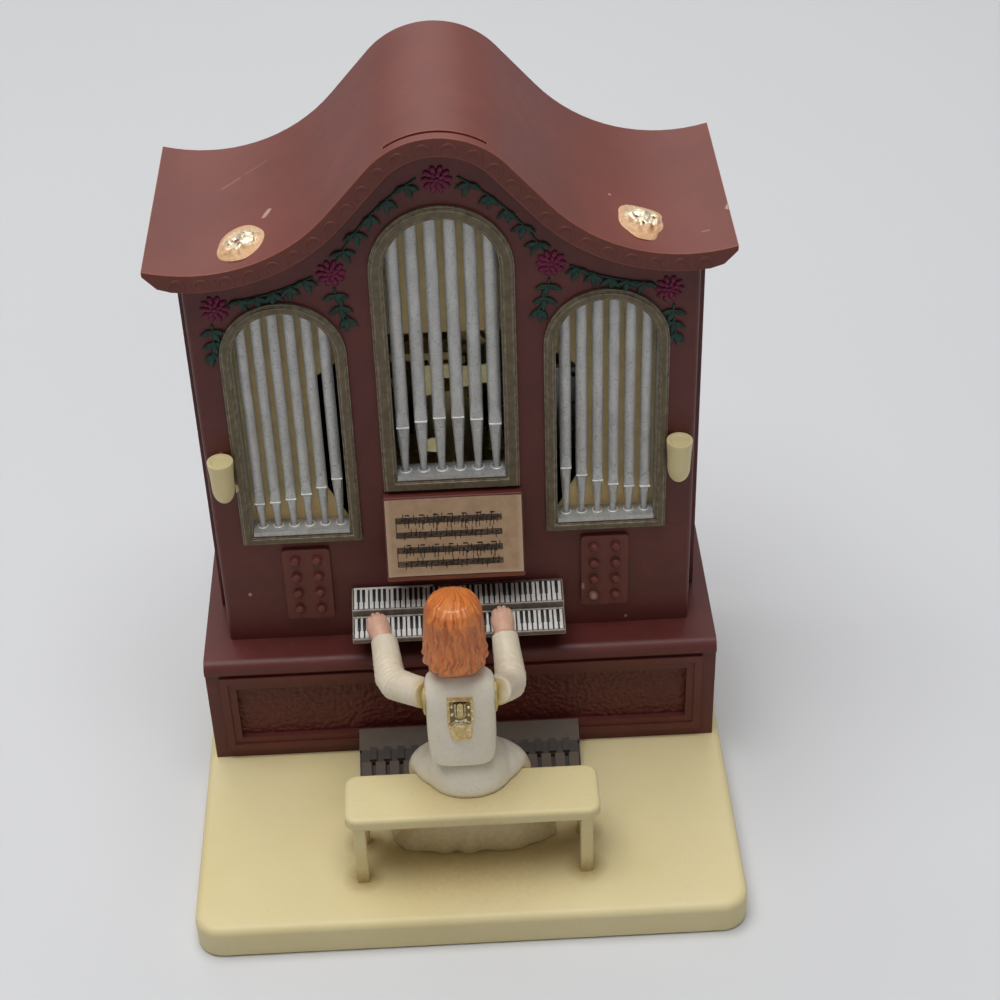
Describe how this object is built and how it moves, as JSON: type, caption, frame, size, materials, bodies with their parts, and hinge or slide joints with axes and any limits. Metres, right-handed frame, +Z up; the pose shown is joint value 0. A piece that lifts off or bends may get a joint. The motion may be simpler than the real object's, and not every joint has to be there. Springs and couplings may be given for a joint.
{
  "type": "figurine music box",
  "caption": "Wind-up music box shaped as a small pipe organ with an ogee roof, arched pipe windows and an organist seated on a bench who turns as the tune plays.",
  "frame": {"origin": "centre of the base's underside", "axes": "+X to the organ's right as seen from its front, +Y to its back, +Z up"},
  "size_m": [0.1014, 0.1075, 0.1398],
  "materials": {
    "cream_plastic": "satin aged ivory",
    "brown_plastic": "satin moulded reddish brown",
    "bronze_plastic": "worn bronze paint",
    "silver_plastic": "dull silver coating",
    "gold_card": "gold-faced card",
    "paper": "tan printed paper",
    "key_print": "printed key strip",
    "flower_paint": "painted relief, magenta",
    "leaf_paint": "painted relief, dark green",
    "pedal_plastic": "satin dark grey brown",
    "gown_plastic": "satin off-white",
    "skin_plastic": "satin painted skin",
    "hair_plastic": "satin painted ginger",
    "brass": "machined brass",
    "steel": "plain steel"
  },
  "bodies": {
    "case": {"base_plate": "cream_plastic", "bottom_cover": "cream_plastic", "bench": "cream_plastic", "lamp_left": "cream_plastic", "lamp_right": "cream_plastic", "console": "brown_plastic", "front_case": "brown_plastic", "rear_case": "brown_plastic", "back_cover": "brown_plastic", "roof": "brown_plastic", "music_desk": "brown_plastic", "stop_panel_left": "brown_plastic", "stop_panel_right": "brown_plastic", "window_frame_left": "bronze_plastic", "window_frame_centre": "bronze_plastic", "window_frame_right": "bronze_plastic", "keyboard": "bronze_plastic", "pipes_left": "silver_plastic", "pipes_centre": "silver_plastic", "pipes_right": "silver_plastic", "backing_card": "gold_card", "sheet_music": "paper", "manual_upper": "key_print", "manual_lower": "key_print", "garland_flowers": "flower_paint", "garland_leaves": "leaf_paint", "pedalboard": "pedal_plastic", "skirt": "gown_plastic", "lap": "gown_plastic", "post_bush": "brass", "bedplate": "brass", "spring_housing": "brass", "comb_block": "brass", "governor_bracket": "brass", "upper_bearing": "brass", "lower_bearing": "brass", "cover_screws": "steel", "back_screws": "steel", "movement_screws": "steel", "mainspring": "steel", "comb": "steel"},
    "key_set": {"wind_key": "steel", "winding_arbor": "steel", "great_wheel": "brass"},
    "cylinder_set": {"music_cylinder": "brass", "cylinder_pinion": "brass", "governor_gear": "brass", "drive_shaft": "steel", "crank_disc": "brass"},
    "governor_set": {"governor_fly": "steel"},
    "organist": {"torso": "gown_plastic", "head": "skin_plastic", "hair": "hair_plastic", "arm_left": "gown_plastic", "arm_right": "gown_plastic", "hand_left": "skin_plastic", "hand_right": "skin_plastic", "organist_post": "steel", "rocker_lever": "steel"}
  },
  "joints": [
    {"name": "key_turn", "type": "hinge", "parent": "case", "child": "key_set", "pos_m": [0, 0.045, 0.093], "axis": [0, 1, 0], "continuous": true},
    {"name": "cylinder_turn", "type": "hinge", "parent": "case", "child": "cylinder_set", "pos_m": [0, 0.02371, 0.07], "axis": [0, 0, 1], "continuous": true},
    {"name": "governor_spin", "type": "hinge", "parent": "case", "child": "governor_set", "pos_m": [-0.0128, 0.02371, 0.07], "axis": [0, 0, 1], "continuous": true},
    {"name": "organist_sway", "type": "hinge", "parent": "case", "child": "organist", "pos_m": [0, -0.027, 0.02], "axis": [0, 0, 1], "range_deg": [-7, 7]}
  ],
  "couplings": [
    {"joint": "cylinder_turn", "follows": "key_turn", "ratio": 3.6},
    {"joint": "governor_spin", "follows": "key_turn", "ratio": -25.2}
  ]
}
